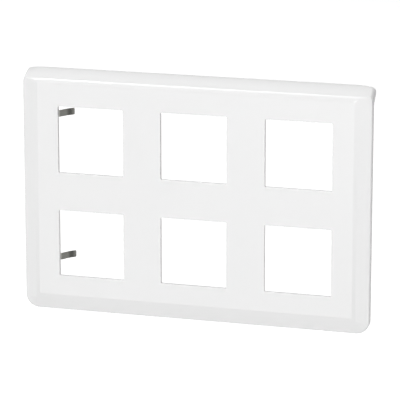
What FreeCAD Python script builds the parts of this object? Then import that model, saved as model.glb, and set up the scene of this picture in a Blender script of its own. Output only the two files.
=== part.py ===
import FreeCAD, Part
import math
import os
import Sketcher

# Moulded cover plate for six square modules, with two spring clips on its back.
# Millimetres, +Z up, front facing -Y. The origin is in the wall plane, behind the middle of the openings.

doc = FreeCAD.newDocument("grid_switch_plate")

# Driving sizes, in millimetres and degrees
driving_sizes = {
    "opening_size": 45.0,
    "opening_round": 0.6,
    "module_pitch": 71.0,
    "side_margin": 25.5,
    "end_margin": 24.7,
    "plate_depth": 13.0,
    "front_wall": 2.6,
    "bevel_width": 11.2,
    "bevel_drop": 3.3,
    "edge_band": 3.8,
    "corner_radius": 9.0,
    "crease_radius": 1.2,
    "ridge_drop": 6.2,
    "top_back_drop": 0.85,
    "top_crown_radius": 40.0,
    "roll_height": 4.6,
    "roll_drop": 1.9,
    "ridge_round": 3.0,
    "rim_round": 1.2,
    "top_side_round": 2.5,
    "skirt_setback": 1.6,
    "skirt_wall": 1.8,
    "top_wall": 2.2,
    "shoulder_drop": 1.1,
    "undercut_stop": 11.5,
    "undercut_rise": 7.0,
    "rib_wall": 1.5,
    "rib_depth": 4.5,
    "clip_width": 4.6,
    "clip_thickness": 0.5,
    "clip_base_length": 9.8,
    "clip_root_setback": 0.25,
    "clip_root_radius": 0.7,
    "clip_arm_length": 6.8,
    "clip_arm_lean": 31.0,
    "clip_bend_radius": 1.5,
    "clip_tip_length": 4.5,
    "clip_tip_lean": 46.0,
    "clip_tip_round": 0.8,
    "upper_clip_rise": 17.3,
    "lower_clip_rise": -10.0,
    "stake_setback": 6.2,
    "stake_radius": 1.0,
    "stake_clearance": 0.05,
    "stake_head_radius": 1.8,
    "stake_crown_radius": 1.1,
    "stake_head_height": 0.8,
    "guide_wall": 1.0,
    "guide_depth": 1.4,
    "guide_clearance": 0.1,
    "guide_length": 7.5,
    "lug_setback": 5.0,
    "lug_wall": 1.6,
    "lug_width": 8.0,
    "lug_reach": 8.2,
    "lug_nib": 1.1,
    "lug_nib_height": 2.6,
    "lug_lead_in": 0.55,
}

sheet = doc.addObject("Spreadsheet::Sheet", "Sizes")
for row, (alias, number) in enumerate(driving_sizes.items(), start=1):
    sheet.set(f"A{row}", alias)
    sheet.set(f"B{row}", str(number))
    sheet.setAlias(f"B{row}", alias)
doc.recompute()

# Places worked out from the driving sizes, as expressions
half_width = "(Sizes.module_pitch + Sizes.opening_size / 2 + Sizes.side_margin)"
half_height = "((Sizes.module_pitch + Sizes.opening_size) / 2 + Sizes.end_margin)"
half_opening = "Sizes.opening_size / 2"
jamb = "(Sizes.module_pitch + Sizes.opening_size / 2)"
front_plane = "Sizes.plate_depth"
inner_plane = "(Sizes.plate_depth - Sizes.front_wall)"
edge_plane = "(Sizes.plate_depth - Sizes.bevel_drop)"
band_plane = f"({edge_plane} - Sizes.edge_band)"
bevel_slope = "(Sizes.bevel_drop / Sizes.bevel_width)"
flat_half_width = f"({half_width} - Sizes.bevel_width)"
flat_half_height = f"({half_height} - Sizes.bevel_width)"
ridge_height = f"({half_height} - Sizes.ridge_drop)"
ridge_plane = f"({front_plane} - Sizes.roll_drop)"
roll_radius = "((Sizes.roll_height ^ 2 + Sizes.roll_drop ^ 2) / (2 * Sizes.roll_drop))"
roll_start = f"({ridge_height} - Sizes.roll_height)"
top_back_height = f"({half_height} - Sizes.top_back_drop)"
skirt_inset = "(Sizes.skirt_setback + Sizes.skirt_wall)"
cavity_half_width = f"({half_width} - {skirt_inset})"
cavity_bottom = f"({half_height} - {skirt_inset})"
cavity_drop = f"({bevel_slope} * (Sizes.bevel_width - {skirt_inset}))"
shoulder_plane = f"({inner_plane} - {cavity_drop})"
undercut_height = f"({half_height} - Sizes.undercut_stop)"
column_count = 3
rows = (-0.5, 0.5)
bars = (-0.5, 0.5)
quarter_turn = 90
full_turn = 360


def evaluate(expression):
    return float(sheet.evalExpression(expression.replace("Sizes.", "")))


def new_body(label):
    body = doc.addObject("PartDesign::Body", label)
    body.Label = label
    body.Placement = FreeCAD.Placement()
    return body


def new_sketch(body, name, role, offset="0", shift="0"):
    sketch = body.newObject("Sketcher::SketchObject", name)
    plane = next(feature for feature in body.Origin.OriginFeatures if feature.Role == role)
    sketch.AttachmentSupport = [(plane, "")]
    sketch.MapMode = "FlatFace"
    sketch.setExpression("AttachmentOffset.Base.x", shift)
    sketch.setExpression("AttachmentOffset.Base.z", offset)
    return sketch


def constrain(sketch, pairs):
    # Adds the constraints in one step, then binds each to its expression
    indexes = sketch.addConstraint([constraint for constraint, expression in pairs])
    for index, (constraint, expression) in zip(indexes, pairs):
        if expression is not None:
            sketch.setExpression(f"Constraints[{index}]", expression)


def add_profile(sketch, vertices):
    # Each vertex is two coordinates, then None for a line on, or a turn ("left" or "right") and its radius
    places = [FreeCAD.Vector(evaluate(x), evaluate(y), 0) for x, y, bend in vertices]
    spans = []
    pairs = []
    for number, (x, y, bend) in enumerate(vertices):
        start = places[number]
        end = places[(number + 1) % len(vertices)]
        if bend is None:
            index = sketch.addGeometry(Part.LineSegment(start, end))
            spans.append((index, 1, 2))
            continue
        turn, radius_expression = bend
        radius = evaluate(radius_expression)
        chord = end - start
        side = 1 if turn == "left" else -1
        across = FreeCAD.Vector(-chord.y, chord.x, 0).normalize() * side
        rise = math.sqrt(max(radius ** 2 - chord.Length ** 2 / 4, 0))
        middle = start + chord * 0.5 - across * (radius - rise)
        index = sketch.addGeometry(Part.Arc(start, middle, end))
        spans.append((index, 1, 2) if turn == "left" else (index, 2, 1))
        pairs.append((Sketcher.Constraint("Radius", index, radius), radius_expression))
    for number, (x, y, bend) in enumerate(vertices):
        index, first, last = spans[number]
        following, following_first = spans[(number + 1) % len(spans)][:2]
        place = places[number]
        pairs.append((Sketcher.Constraint("Coincident", index, last, following, following_first), None))
        pairs.append((Sketcher.Constraint("DistanceX", -1, 1, index, first, place.x), x))
        pairs.append((Sketcher.Constraint("DistanceY", -1, 1, index, first, place.y), y))
    constrain(sketch, pairs)


def add_rounded_rectangle(sketch, left, right, bottom, top, low_radius, high_radius):
    low = ("left", low_radius)
    high = ("left", high_radius)
    add_profile(sketch, [
        (f"{left} + {low_radius}", bottom, None),
        (f"{right} - {low_radius}", bottom, low),
        (right, f"{bottom} + {low_radius}", None),
        (right, f"{top} - {high_radius}", high),
        (f"{right} - {high_radius}", top, None),
        (f"{left} + {high_radius}", top, high),
        (left, f"{top} - {high_radius}", None),
        (left, f"{bottom} + {low_radius}", low),
    ])


def add_rectangle(sketch, left, right, bottom, top):
    add_profile(sketch, [
        (left, bottom, None),
        (right, bottom, None),
        (right, top, None),
        (left, top, None),
    ])


def pad(body, sketch, name, length, reverse=False, middle=False):
    feature = body.newObject("PartDesign::Pad", name)
    feature.Profile = sketch
    feature.Reversed = reverse
    feature.Midplane = middle
    feature.setExpression("Length", length)
    return feature


def pocket(body, sketch, name, length, reverse=False, middle=False):
    feature = body.newObject("PartDesign::Pocket", name)
    feature.Profile = sketch
    feature.Reversed = reverse
    feature.Midplane = middle
    feature.setExpression("Length", length)
    return feature


def loft(body, kind, name, sections):
    feature = body.newObject(kind, name)
    feature.Profile = sections[0]
    feature.Sections = sections[1:]
    feature.Ruled = True
    return feature


def round_edges(body, name, radius, wanted):
    doc.recompute()
    base = body.Tip
    edges = [f"Edge{number}" for number, edge in enumerate(base.Shape.Edges, start=1) if wanted(edge)]
    feature = body.newObject("PartDesign::Fillet", name)
    feature.Base = (base, edges)
    feature.setExpression("Radius", radius)
    doc.recompute()
    return feature


near = 0.01


def flat_at(edge, depth):
    box = edge.BoundBox
    return abs(box.YMin + depth) < near and abs(box.YMax + depth) < near


# Outer form of the plate: a block with round lower corners, cut back to its bevels and its crowned top
def add_outer_form(body):
    outline = new_sketch(body, "outline", "XZ_Plane")
    radius = "Sizes.corner_radius"
    corner = ("left", radius)
    add_profile(outline, [
        (f"{radius} - {half_width}", f"-{half_height}", None),
        (f"{half_width} - {radius}", f"-{half_height}", corner),
        (half_width, f"{radius} - {half_height}", None),
        (half_width, half_height, None),
        (f"-{half_width}", half_height, None),
        (f"-{half_width}", f"{radius} - {half_height}", corner),
    ])
    pad(body, outline, "block", front_plane)
    # The lower bevel, and the top, which rolls back to a ridge and runs on to the wall as one convex face
    ends = new_sketch(body, "end_sections", "YZ_Plane")
    add_profile(ends, [
        (f"-{front_plane}", f"-{flat_half_height}", None),
        (f"-{front_plane}", f"-{half_height}", None),
        (f"-{edge_plane}", f"-{half_height}", None),
    ])
    above = f"({half_height} + Sizes.top_wall)"
    add_profile(ends, [
        ("0", top_back_height, None),
        ("0", above, None),
        (f"-{front_plane}", above, None),
        (f"-{front_plane}", roll_start, ("right", roll_radius)),
        (f"-{ridge_plane}", ridge_height, ("right", "Sizes.top_crown_radius")),
    ])
    pocket(body, ends, "end_bevels", f"2 * ({half_width} + Sizes.side_margin)", middle=True)
    ridge_z = evaluate(ridge_height)

    def on_ridge(edge):
        box = edge.BoundBox
        return flat_at(edge, evaluate(ridge_plane)) and abs(box.ZMin - ridge_z) < near

    round_edges(body, "ridge_rounding", "Sizes.ridge_round", on_ridge)
    sides = new_sketch(body, "side_bevel_sections", "XY_Plane")
    for sign in ("", "-"):
        add_profile(sides, [
            (f"{sign}{flat_half_width}", f"-{front_plane}", None),
            (f"{sign}{half_width}", f"-{front_plane}", None),
            (f"{sign}{half_width}", f"-{edge_plane}", None),
        ])
    pocket(body, sides, "side_bevels", f"2 * ({half_height} + Sizes.end_margin)", middle=True)


# The bevel turns each lower corner as a cone about the corner's own centre
def add_corner_cones(body):
    centre_x = f"({half_width} - Sizes.corner_radius)"
    centre_z = f"(Sizes.corner_radius - {half_height})"
    apex = f"({edge_plane} + {bevel_slope} * Sizes.corner_radius)"
    rim = "(Sizes.corner_radius + Sizes.skirt_setback)"
    rim_plane = f"({edge_plane} - {bevel_slope} * Sizes.skirt_setback)"
    for name, sign in (("left", "-"), ("right", "")):
        section = new_sketch(body, f"{name}_cone_section", "XY_Plane", centre_z, f"{sign}{centre_x}")
        add_profile(section, [
            ("0", f"-{apex}", None),
            (f"{sign}{rim}", f"-{rim_plane}", None),
            (f"{sign}{rim}", f"-({front_plane} + Sizes.front_wall)", None),
            ("0", f"-({front_plane} + Sizes.front_wall)", None),
        ])
        cone = body.newObject("PartDesign::Groove", f"{name}_corner_cone")
        cone.Profile = section
        cone.ReferenceAxis = (section, ["V_Axis"])
        cone.Angle = quarter_turn
        cone.Reversed = name == "left"


def add_outer_rounds(body):
    side = evaluate(half_width) - near
    ridge_z = evaluate(ridge_height)
    front = evaluate(front_plane)
    edge_depth = evaluate(edge_plane)

    def on_top_side(edge):
        box = edge.BoundBox
        at_side = max(-box.XMin, box.XMax) > side
        return at_side and box.YMax > -near and box.YLength > near and box.ZMin > ridge_z

    round_edges(body, "top_side_rounding", "Sizes.top_side_round", on_top_side)

    def on_rim(edge):
        box = edge.BoundBox
        on_crease = flat_at(edge, front) and box.ZMin < 0
        return on_crease or flat_at(edge, edge_depth)

    round_edges(body, "rim_rounding", "Sizes.rim_round", on_rim)


# Set-back skirt: behind the edge band the sides and bottom stand back from the outline, and the top does not
def add_undercut(body):
    sketch = new_sketch(body, "undercut_outline", "XZ_Plane")
    beyond_side = f"({half_width} + Sizes.side_margin)"
    beyond_bottom = f"({half_height} + Sizes.end_margin)"
    side = f"({half_width} - Sizes.skirt_setback)"
    bottom = f"({half_height} - Sizes.skirt_setback)"
    radius = "(Sizes.corner_radius - Sizes.skirt_setback)"
    corner = ("right", radius)
    add_profile(sketch, [
        (f"-{beyond_side}", undercut_height, None),
        (f"-{beyond_side}", f"-{beyond_bottom}", None),
        (beyond_side, f"-{beyond_bottom}", None),
        (beyond_side, undercut_height, None),
        (side, undercut_height, None),
        (side, f"{radius} - {bottom}", corner),
        (f"{side} - {radius}", f"-{bottom}", None),
        (f"{radius} - {side}", f"-{bottom}", corner),
        (f"-{side}", f"{radius} - {bottom}", None),
        (f"-{side}", undercut_height, None),
    ])
    pocket(body, sketch, "undercut", band_plane, reverse=True)
    # The undercut runs out towards the top on a slant
    for name, sign in (("left", "-"), ("right", "")):
        slant = new_sketch(body, f"{name}_run_out_section", "YZ_Plane", f"{sign}{side}")
        add_profile(slant, [
            (f"-{band_plane}", undercut_height, None),
            ("0", undercut_height, None),
            ("0", f"{undercut_height} + Sizes.undercut_rise", None),
        ])
        pocket(body, slant, f"{name}_run_out", "Sizes.side_margin", reverse=name == "right")


# Hollow back: the cavity follows the bevel and the crowned top at an even wall
def add_cavity(body):
    radius = "(Sizes.corner_radius - Sizes.skirt_setback - Sizes.skirt_wall)"
    back = new_sketch(body, "cavity_mouth", "XZ_Plane")
    back_top = f"({top_back_height} - Sizes.top_wall)"
    add_rounded_rectangle(back, f"-{cavity_half_width}", cavity_half_width, f"-{cavity_bottom}", back_top,
                          radius, radius)
    shoulder = new_sketch(body, "cavity_shoulder", "XZ_Plane", shoulder_plane)
    shoulder_top = f"({ridge_height} - Sizes.shoulder_drop)"
    add_rounded_rectangle(shoulder, f"-{cavity_half_width}", cavity_half_width, f"-{cavity_bottom}",
                          shoulder_top, radius, radius)
    floor = new_sketch(body, "cavity_floor", "XZ_Plane", inner_plane)
    add_rounded_rectangle(floor, f"-{flat_half_width}", flat_half_width, f"-{flat_half_height}",
                          flat_half_height, "Sizes.crease_radius", "Sizes.crease_radius")
    loft(body, "PartDesign::SubtractiveLoft", "cavity", [back, shoulder, floor])


# Six square openings for the modules: the first column's two, repeated across the plate
def add_openings(body):
    sketch = new_sketch(body, "opening_outlines", "XZ_Plane", front_plane)
    for row in rows:
        middle = f"{row} * Sizes.module_pitch"
        bottom = f"({middle} - {half_opening})"
        top = f"({middle} + {half_opening})"
        add_rounded_rectangle(sketch, f"-{jamb}", f"(Sizes.opening_size - {jamb})", bottom, top,
                              "Sizes.opening_round", "Sizes.opening_round")
    first = pocket(body, sketch, "first_column_openings", "2 * Sizes.front_wall")
    doc.recompute()
    pattern = body.newObject("PartDesign::LinearPattern", "openings")
    pattern.Originals = [first]
    pattern.Direction = (sketch, ["H_Axis"])
    pattern.setExpression("Length", "2 * Sizes.module_pitch")
    pattern.Occurrences = column_count
    body.Tip = pattern


# Stiffening ribs along the bars between the openings
def add_ribs(body):
    half_rib = "Sizes.rib_wall / 2"
    across = new_sketch(body, "cross_rib_outline", "XZ_Plane", inner_plane)
    add_rectangle(across, f"-{cavity_half_width}", cavity_half_width, f"-{half_rib}", half_rib)
    pad(body, across, "cross_rib", "Sizes.rib_depth", reverse=True)
    uprights = new_sketch(body, "upright_rib_outlines", "XZ_Plane", inner_plane)
    for bar in bars:
        middle = f"{bar} * Sizes.module_pitch"
        add_rectangle(uprights, f"{middle} - {half_rib}", f"{middle} + {half_rib}",
                      f"-{cavity_bottom}", ridge_height)
    pad(body, uprights, "upright_ribs", "Sizes.rib_depth", reverse=True)


# What holds one clip: a stake through its base, with the head formed over it, and a guide wall round the base
def add_clip_seat(body, name, height):
    axis_x = f"-({jamb} + Sizes.stake_setback)"
    stake = new_sketch(body, f"{name}_stake_section", "XY_Plane", height, axis_x)
    head_seat = f"(Sizes.clip_thickness - {inner_plane})"
    head_end = f"({head_seat} + Sizes.stake_head_height)"
    add_profile(stake, [
        ("0", f"-({inner_plane} + Sizes.front_wall / 2)", None),
        ("Sizes.stake_radius", f"-({inner_plane} + Sizes.front_wall / 2)", None),
        ("Sizes.stake_radius", head_seat, None),
        ("Sizes.stake_head_radius", head_seat, None),
        ("Sizes.stake_crown_radius", head_end, None),
        ("0", head_end, None),
    ])
    turned = body.newObject("PartDesign::Revolution", f"{name}_stake")
    turned.Profile = stake
    turned.ReferenceAxis = (stake, ["V_Axis"])
    turned.Angle = full_turn
    guide = new_sketch(body, f"{name}_guide_outline", "XZ_Plane", inner_plane)
    gap = "(Sizes.clip_width / 2 + Sizes.guide_clearance)"
    outside = f"({gap} + Sizes.guide_wall)"
    closed_end = f"-({jamb} + Sizes.clip_root_setback + Sizes.clip_base_length + Sizes.guide_clearance)"
    open_end = f"({closed_end} + Sizes.guide_length)"
    add_profile(guide, [
        (f"{closed_end} - Sizes.guide_wall", f"{height} - {outside}", None),
        (open_end, f"{height} - {outside}", None),
        (open_end, f"{height} - {gap}", None),
        (closed_end, f"{height} - {gap}", None),
        (closed_end, f"{height} + {gap}", None),
        (open_end, f"{height} + {gap}", None),
        (open_end, f"{height} + {outside}", None),
        (f"{closed_end} - Sizes.guide_wall", f"{height} + {outside}", None),
    ])
    pad(body, guide, f"{name}_guide", "Sizes.guide_depth", reverse=True)


# Fixed lug that hooks behind the support on the side away from the clips
def add_lug(body, name, row):
    section = new_sketch(body, f"{name}_lug_section", "XY_Plane", f"{row} * Sizes.module_pitch")
    root = f"({jamb} + Sizes.lug_setback)"
    face = f"({root} + Sizes.lug_wall)"
    end = f"(Sizes.lug_reach - {inner_plane})"
    nib = f"({end} - Sizes.lug_nib_height)"
    add_profile(section, [
        (root, f"-({inner_plane} + Sizes.front_wall / 2)", None),
        (face, f"-({inner_plane} + Sizes.front_wall / 2)", None),
        (face, nib, None),
        (f"{face} + Sizes.lug_nib", nib, None),
        (f"{face} - Sizes.lug_lead_in", end, None),
        (root, end, None),
    ])
    pad(body, section, f"{name}_lug", "Sizes.lug_width", middle=True)


# One bent strip: a flat base on the plate's back, a leaning arm, and a tip that leans further
def make_clip(label, height):
    body = new_body(label)
    section = new_sketch(body, f"{label}_section", "XY_Plane", height)
    thickness = "Sizes.clip_thickness"
    root_x = f"-({jamb} + Sizes.clip_root_setback)"
    end_x = f"({root_x} - Sizes.clip_base_length)"
    front_y = f"-{inner_plane}"
    back_y = f"({thickness} - {inner_plane})"
    centre_y = f"({back_y} + Sizes.clip_root_radius)"

    def arm(out, along):
        # A point at these distances from the root bend's centre, across the arm and along it
        return (f"{root_x} + ({out}) * cos(Sizes.clip_arm_lean) + ({along}) * sin(Sizes.clip_arm_lean)",
                f"{centre_y} - ({out}) * sin(Sizes.clip_arm_lean) + ({along}) * cos(Sizes.clip_arm_lean)")

    outer = f"Sizes.clip_root_radius + {thickness}"
    bend_x, bend_y = arm(f"{outer} + Sizes.clip_bend_radius", "Sizes.clip_arm_length")

    def tip(out, along):
        # A point at these distances from the second bend's centre, across the tip and along it
        return (f"{bend_x} - ({out}) * cos(Sizes.clip_tip_lean) + ({along}) * sin(Sizes.clip_tip_lean)",
                f"{bend_y} + ({out}) * sin(Sizes.clip_tip_lean) + ({along}) * cos(Sizes.clip_tip_lean)")

    inner_bend = f"Sizes.clip_bend_radius + {thickness}"
    add_profile(section, [
        (end_x, front_y, None),
        (root_x, front_y, ("left", outer)),
        (*arm(outer, "0"), None),
        (*arm(outer, "Sizes.clip_arm_length"), ("right", "Sizes.clip_bend_radius")),
        (*tip("Sizes.clip_bend_radius", "0"), None),
        (*tip("Sizes.clip_bend_radius", "Sizes.clip_tip_length"), None),
        (*tip(inner_bend, "Sizes.clip_tip_length"), None),
        (*tip(inner_bend, "0"), ("left", inner_bend)),
        (*arm("Sizes.clip_root_radius", "Sizes.clip_arm_length"), None),
        (*arm("Sizes.clip_root_radius", "0"), ("right", "Sizes.clip_root_radius")),
        (root_x, back_y, None),
        (end_x, back_y, None),
    ])
    pad(body, section, f"{label}_strip", "Sizes.clip_width", middle=True)
    hole = new_sketch(body, f"{label}_hole_outline", "XZ_Plane", inner_plane)
    stake_x = f"-({jamb} + Sizes.stake_setback)"
    radius = "Sizes.stake_radius + Sizes.stake_clearance"
    middle = FreeCAD.Vector(evaluate(stake_x), evaluate(height), 0)
    circle = hole.addGeometry(Part.Circle(middle, FreeCAD.Vector(0, 0, 1), evaluate(radius)))
    constrain(hole, [
        (Sketcher.Constraint("DistanceX", -1, 1, circle, 3, middle.x), stake_x),
        (Sketcher.Constraint("DistanceY", -1, 1, circle, 3, middle.y), height),
        (Sketcher.Constraint("Radius", circle, evaluate(radius)), radius),
    ])
    pocket(body, hole, f"{label}_hole", f"2 * {thickness}")
    tip_x = evaluate(tip("Sizes.clip_bend_radius", "Sizes.clip_tip_length")[0])
    strip = evaluate(thickness)

    def tip_corner(edge):
        return abs(edge.Length - strip) < near and edge.BoundBox.XMax > tip_x - near

    round_edges(body, f"{label}_tip_rounding", "Sizes.clip_tip_round", tip_corner)
    return body


upper_clip_height = "(Sizes.module_pitch / 2 + Sizes.upper_clip_rise)"
lower_clip_height = "(Sizes.lower_clip_rise - Sizes.module_pitch / 2)"

cover_plate = new_body("cover_plate")
add_outer_form(cover_plate)
add_corner_cones(cover_plate)
add_outer_rounds(cover_plate)
add_undercut(cover_plate)
add_cavity(cover_plate)
add_ribs(cover_plate)
add_openings(cover_plate)
add_clip_seat(cover_plate, "upper", upper_clip_height)
add_clip_seat(cover_plate, "lower", lower_clip_height)
add_lug(cover_plate, "upper", rows[1])
add_lug(cover_plate, "lower", rows[0])
upper_spring_clip = make_clip("upper_spring_clip", upper_clip_height)
lower_spring_clip = make_clip("lower_spring_clip", lower_clip_height)

doc.recompute()
failed = [item.Name for item in doc.Objects if "Invalid" in item.State or "Error" in item.State]
if failed:
    raise RuntimeError(f"these objects did not build: {failed}")

sub_parts = [cover_plate, upper_spring_clip, lower_spring_clip]
for part in sub_parts:
    if part.Shape.isNull() or not part.Shape.isValid():
        raise RuntimeError(f"{part.Label} has no valid shape")

os.makedirs("parts", exist_ok=True)
for part in sub_parts:
    part.Shape.exportStep(f"parts/{part.Label}.step")
    print(part.Label, "volume", round(part.Shape.Volume, 1))
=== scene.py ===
import math

import bmesh
import bpy
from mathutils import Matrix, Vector


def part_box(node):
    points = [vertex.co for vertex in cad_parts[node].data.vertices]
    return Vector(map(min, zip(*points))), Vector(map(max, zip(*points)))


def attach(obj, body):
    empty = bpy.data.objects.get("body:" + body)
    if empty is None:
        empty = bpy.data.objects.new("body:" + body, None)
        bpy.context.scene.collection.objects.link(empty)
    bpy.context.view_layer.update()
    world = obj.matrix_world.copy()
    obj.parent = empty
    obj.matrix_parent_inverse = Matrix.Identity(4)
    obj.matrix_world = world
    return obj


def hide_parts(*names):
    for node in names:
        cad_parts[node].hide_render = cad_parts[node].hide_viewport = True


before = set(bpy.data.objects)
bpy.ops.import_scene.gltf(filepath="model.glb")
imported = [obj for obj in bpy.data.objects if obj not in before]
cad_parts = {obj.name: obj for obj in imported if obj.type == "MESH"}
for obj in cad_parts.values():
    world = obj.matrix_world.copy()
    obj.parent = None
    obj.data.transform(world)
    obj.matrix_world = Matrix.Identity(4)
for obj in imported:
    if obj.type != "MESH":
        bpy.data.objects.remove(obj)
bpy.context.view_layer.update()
print("frame loaded with", sorted(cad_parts))


# one socket of a shader tree, so that maths on it reads as a plain expression
class Wire:
    def __init__(self, finish, socket):
        self.finish = finish
        self.socket = socket

    def __add__(self, other):
        return self.finish.maths("ADD", self, other)

    def __sub__(self, other):
        return self.finish.maths("SUBTRACT", self, other)

    def __rsub__(self, other):
        return self.finish.maths("SUBTRACT", other, self)

    def __mul__(self, other):
        return self.finish.maths("MULTIPLY", self, other)

    __radd__ = __add__
    __rmul__ = __mul__


# the shader tree of a material or of the world
class Finish:
    def __init__(self, owner):
        owner.use_nodes = True
        self.owner = owner
        self.tree = owner.node_tree

    # settings come first, because a data type decides which sockets there are
    def node(self, kind, settings, inputs, output=0):
        made = self.tree.nodes.new(kind)
        for name, value in settings.items():
            setattr(made, name, value)
        self.feed(made, inputs)
        return Wire(self, made.outputs[output])

    def feed(self, target, inputs):
        for name, value in inputs.items():
            if isinstance(value, Wire):
                self.tree.links.new(value.socket, target.inputs[name])
            else:
                target.inputs[name].default_value = value

    def maths(self, operation, first, second):
        return self.node("ShaderNodeMath", {"operation": operation}, {0: first, 1: second})

    def noise(self, coords, detail, scale=1.0):
        return self.node(
            "ShaderNodeTexNoise", {}, {"Vector": coords, "Scale": scale, "Detail": detail})

    # a Mix node has sockets for every data type, and the colour ones share their names with others
    def mixColours(self, share, first, second):
        factorIn, firstIn, secondIn, colourOut = 0, 6, 7, 2
        return self.node(
            "ShaderNodeMix", {"data_type": "RGBA"},
            {factorIn: share, firstIn: first, secondIn: second}, colourOut)

    def bump(self, height, distance, **others):
        return self.node(
            "ShaderNodeBump", {},
            {"Height": height, "Distance": distance, "Strength": 1.0, **others})

    # what the eye sees directly, in gloss and through glass, as a 0 or 1 mask
    def seenRays(self):
        seen = 0.0
        for ray in ("Is Camera Ray", "Is Glossy Ray", "Is Transmission Ray"):
            mask = self.node("ShaderNodeLightPath", {}, {}, ray)
            seen = self.maths("MAXIMUM", mask, seen)
        return seen


# moulded white plastic: even tone, satin gloss, and the faint waviness of a moulding
whitePlastic = {
    "pale": (0.874, 0.875, 0.876, 1.0),
    "deep": (0.858, 0.858, 0.857, 1.0),
    "toneScale": 14.0,
    "toneDetail": 3.0,
    "grainScale": 2400.0,
    "grainDetail": 2.0,
    "grainHeight": 0.0000012,
    "waveScale": 160.0,
    "waveDetail": 1.0,
    "waveHeight": 0.00001,
    "roughLow": 0.09,
    "roughSpread": 0.06,
    "specular": 0.75,
}


def makeWhitePlastic():
    look = whitePlastic
    finish = Finish(bpy.data.materials.new("white_moulded_plastic"))
    shader = finish.tree.nodes["Principled BSDF"]
    coords = finish.node("ShaderNodeTexCoord", {}, {}, "Object")
    tone = finish.noise(coords, look["toneDetail"], look["toneScale"])
    grain = finish.noise(coords, look["grainDetail"], look["grainScale"])
    wave = finish.noise(coords, look["waveDetail"], look["waveScale"])
    waves = finish.bump(wave, look["waveHeight"])
    finish.feed(shader, {
        "Base Color": finish.mixColours(tone, look["deep"], look["pale"]),
        "Roughness": look["roughLow"] + look["roughSpread"] * grain,
        "Specular IOR Level": look["specular"],
        "Normal": finish.bump(grain, look["grainHeight"], Normal=waves),
    })
    return finish.owner


# tempered spring steel: dark grey with drawn lines along the strip, and painted shade around the
# bend, where the curved strip reflects darker
springSteel = {
    "pale": (0.24, 0.24, 0.222, 1.0),
    "deep": (0.15, 0.15, 0.14, 1.0),
    "lineScale": (60.0, 60.0, 5200.0),
    "lineDetail": 3.0,
    "lineShare": 0.6,
    "lineHeight": 0.000006,
    "blotchScale": 420.0,
    "blotchDetail": 2.0,
    "blotchShare": 0.4,
    # painted shade: the colour the steel is darkened to around the bend, how far it reaches and
    # how strongly
    "bent": (0.065, 0.065, 0.059, 1.0),
    "bendPlace": -0.0883,
    "bendShadeReach": 0.0017,
    "bendShadeDepth": 0.85,
    "metallic": 1.0,
    "roughLow": 0.26,
    "roughSpread": 0.22,
}


def makeSpringSteel():
    look = springSteel
    finish = Finish(bpy.data.materials.new("tempered_spring_steel"))
    shader = finish.tree.nodes["Principled BSDF"]
    coords = finish.node("ShaderNodeTexCoord", {}, {}, "Object")
    along = finish.node("ShaderNodeMapping", {}, {"Vector": coords, "Scale": look["lineScale"]})
    lines = finish.noise(along, look["lineDetail"])
    blotch = finish.noise(coords, look["blotchDetail"], look["blotchScale"])
    shade = look["lineShare"] * lines + look["blotchShare"] * blotch
    steel = finish.mixColours(shade, look["deep"], look["pale"])
    # painted shade: a darker band around the bend, standing in for the darker reflection of the
    # curved strip
    across = finish.node("ShaderNodeSeparateXYZ", {}, {"Vector": coords}, "X")
    offset = (across - look["bendPlace"]) * (1.0 / look["bendShadeReach"])
    bendShade = look["bendShadeDepth"] * finish.maths("MAXIMUM", 1.0 - offset * offset, 0.0)
    finish.feed(shader, {
        "Base Color": finish.mixColours(bendShade, steel, look["bent"]),
        "Metallic": look["metallic"],
        "Roughness": look["roughLow"] + look["roughSpread"] * lines,
        "Normal": finish.bump(lines, look["lineHeight"]),
    })
    return finish.owner


plasticFinish = makeWhitePlastic()
steelFinish = makeSpringSteel()
print("finishes made:", plasticFinish.name, steelFinish.name)


# how all pieces are taken over from their CAD nodes
takeOver = {
    "weldGap": 0.000002,
    "flatAngle": math.radians(0.3),
    "sharpAngle": math.radians(32),
    "squareAngle": math.radians(60),
    "flatWeight": 90,
}


# a welded copy of a CAD node, with its flat faces whole again
def weldedCopy(node):
    bm = bmesh.new()
    bm.from_mesh(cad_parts[node].data)
    bmesh.ops.remove_doubles(bm, verts=bm.verts, dist=takeOver["weldGap"])
    bmesh.ops.dissolve_limit(
        bm, angle_limit=takeOver["flatAngle"], verts=bm.verts, edges=bm.edges)
    return bm


def squareEdges(bm):
    return [edge for edge in bm.edges if edge.calc_face_angle(0.0) > takeOver["squareAngle"]]


def roundEdges(bm, edges, piece):
    bmesh.ops.bevel(
        bm, geom=edges, offset=piece["edgeRound"], offset_type="OFFSET", affect="EDGES",
        segments=piece["edgeSegments"], profile=0.5, material=-1, clamp_overlap=False)


# turns the bmesh into a piece that rides on the plate and stands for its CAD node
def finishPiece(bm, piece, finish):
    mesh = bpy.data.meshes.new(piece["name"])
    bm.to_mesh(mesh)
    bm.free()
    mesh.shade_smooth()
    mesh.set_sharp_from_angle(angle=takeOver["sharpAngle"])
    mesh.materials.append(finish)
    shown = bpy.data.objects.new(piece["name"], mesh)
    bpy.context.scene.collection.objects.link(shown)
    shading = shown.modifiers.new("flat_faces_stay_flat", "WEIGHTED_NORMAL")
    shading.keep_sharp = True
    shading.weight = takeOver["flatWeight"]
    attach(shown, "root")
    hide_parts(piece["node"])
    print(piece["name"], "has", len(mesh.polygons), "faces")


coverPlate = {
    "name": "cover_moulding",
    "node": "cover_plate",
    "slot": "white_plastic",
    "frontReach": 0.00002,
    "edgeRound": 0.0003,
    "edgeSegments": 3,
    "endStart": 0.107,
    "endLow": 0.066,
    "endHigh": 0.077,
    "endDroop": 0.0014,
    "endStep": 0.0012,
}


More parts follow.
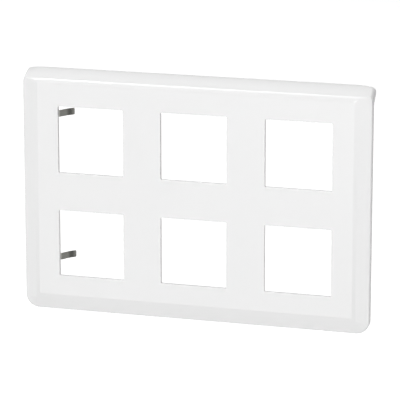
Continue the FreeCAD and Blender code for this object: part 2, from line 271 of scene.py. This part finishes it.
# the top droops a little towards both ends: its faces are cut across there, and then bent down
def droopTopEnds(bm, piece):
    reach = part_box(piece["node"])[1].x
    cut = piece["endStart"]
    while cut < reach:
        for place in (-cut, cut):
            upper = set()
            for face in bm.faces:
                if max(vert.co.z for vert in face.verts) > piece["endLow"]:
                    upper.update(face.verts, face.edges, [face])
            bmesh.ops.bisect_plane(
                bm, geom=list(upper), dist=takeOver["weldGap"],
                plane_co=(place, 0.0, 0.0), plane_no=(1.0, 0.0, 0.0))
        cut += piece["endStep"]
    for vert in bm.verts:
        out = max(abs(vert.co.x) - piece["endStart"], 0.0) / (reach - piece["endStart"])
        rise = (vert.co.z - piece["endLow"]) / (piece["endHigh"] - piece["endLow"])
        rise = min(max(rise, 0.0), 1.0)
        # the bend sets in and runs out smoothly with height
        vert.co.z -= piece["endDroop"] * out * out * rise * rise * (3.0 - 2.0 * rise)


def makeCoverPlate():
    piece = coverPlate
    bm = weldedCopy(piece["node"])
    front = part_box(piece["node"])[0].y + piece["frontReach"]
    # the openings' front edges are the only square ones on the front plane
    openings = [
        edge for edge in squareEdges(bm) if all(vert.co.y < front for vert in edge.verts)]
    roundEdges(bm, openings, piece)
    print("opening edges rounded:", len(openings))
    droopTopEnds(bm, piece)
    finishPiece(bm, piece, plasticFinish)


springClips = {
    "slot": "spring_steel",
    "edgeRound": 0.00006,
    "edgeSegments": 2,
}


def makeSpringClip(name, node):
    piece = {**springClips, "name": name, "node": node}
    bm = weldedCopy(node)
    roundEdges(bm, squareEdges(bm), piece)
    finishPiece(bm, piece, steelFinish)


makeCoverPlate()
makeSpringClip("upper_clip_strip", "upper_spring_clip")
makeSpringClip("lower_clip_strip", "lower_spring_clip")


# pale floor well below the plate, which hangs on a wall when in use
studioFloor = {
    "height": -0.42,
    "radius": 14.0,
    "segments": 64,
    "colour": (0.82, 0.82, 0.82, 1.0),
    "rough": 1.0,
    "specular": 0.0,
    "unseen": (0.0, 0.0, 0.0, 1.0),
    "seen": (1.0, 1.0, 1.0, 1.0),
    "glow": 0.84,
}


def makeFloor():
    look = studioFloor
    bm = bmesh.new()
    bmesh.ops.create_circle(
        bm, cap_ends=True, segments=look["segments"], radius=look["radius"])
    bmesh.ops.translate(bm, verts=bm.verts, vec=(0.0, 0.0, look["height"]))
    mesh = bpy.data.meshes.new("studio_floor")
    bm.to_mesh(mesh)
    bm.free()
    finish = Finish(bpy.data.materials.new("pale_floor"))
    shader = finish.tree.nodes["Principled BSDF"]
    finish.feed(shader, {
        "Base Color": look["colour"],
        "Roughness": look["rough"],
        "Specular IOR Level": look["specular"],
        "Emission Color": finish.mixColours(finish.seenRays(), look["unseen"], look["seen"]),
        "Emission Strength": look["glow"],
    })
    mesh.materials.append(finish.owner)
    floor = bpy.data.objects.new("studio_floor", mesh)
    bpy.context.scene.collection.objects.link(floor)


studioWorld = {"colour": (1.0, 1.0, 1.0, 1.0), "ambient": 0.08, "background": 1.0}


def makeWorld():
    world = bpy.data.worlds.new("studio_world")
    bpy.context.scene.world = world
    finish = Finish(world)
    backdrop = finish.tree.nodes["Background"]
    lift = studioWorld["background"] - studioWorld["ambient"]
    finish.feed(backdrop, {
        "Color": studioWorld["colour"],
        "Strength": studioWorld["ambient"] + lift * finish.seenRays(),
    })


# soft boxes, all facing the plate's middle: where each stands, its size, and its power in watts
plateMiddle = Vector((0.0, 0.0, 0.0))
studioLamps = {
    "front_box": {"place": (0.33, -3.0, 0.12), "size": (0.8, 0.9), "power": 43.6},
    "left_box": {"place": (-2.2, -1.9, 1.3), "size": (1.4, 1.4), "power": 9.0},
    "top_box": {"place": (0.0, -0.7, 1.7), "size": (2.6, 0.45), "power": 18.5},
    "back_box": {"place": (0.0, 0.7, 1.7), "size": (2.6, 0.8), "power": 4.6},
    "rear_box": {"place": (-2.6, 2.0, 0.0), "size": (1.4, 0.7), "power": 36.0},
}


def makeLamps():
    for name, box in studioLamps.items():
        lamp = bpy.data.lights.new(name, "AREA")
        lamp.shape = "RECTANGLE"
        lamp.size, lamp.size_y = box["size"]
        lamp.energy = box["power"]
        stand = bpy.data.objects.new(name, lamp)
        stand.location = box["place"]
        facing = plateMiddle - Vector(box["place"])
        stand.rotation_euler = facing.to_track_quat("-Z", "Y").to_euler()
        bpy.context.scene.collection.objects.link(stand)


# the photograph's viewing angle, to the right of the plate and above it
photoCamera = {
    "aim": (0.00468, -0.013, 0.00115),
    "azimuth": math.radians(16.2),
    "elevation": math.radians(14.25),
    "distance": 1.774,
    "sensor": 36.0,
    "lens": 242.9,
}


def makeCamera():
    view = photoCamera
    out = Vector((
        math.sin(view["azimuth"]) * math.cos(view["elevation"]),
        -math.cos(view["azimuth"]) * math.cos(view["elevation"]),
        math.sin(view["elevation"]),
    ))
    lens = bpy.data.cameras.new("photo_camera")
    lens.sensor_width = view["sensor"]
    lens.lens = view["lens"]
    camera = bpy.data.objects.new("photo_camera", lens)
    camera.location = Vector(view["aim"]) + out * view["distance"]
    camera.rotation_euler = (-out).to_track_quat("-Z", "Y").to_euler()
    bpy.context.scene.collection.objects.link(camera)
    bpy.context.scene.camera = camera


makeFloor()
makeWorld()
makeLamps()
makeCamera()
bpy.context.scene.view_settings.view_transform = "Standard"
print("studio ready")
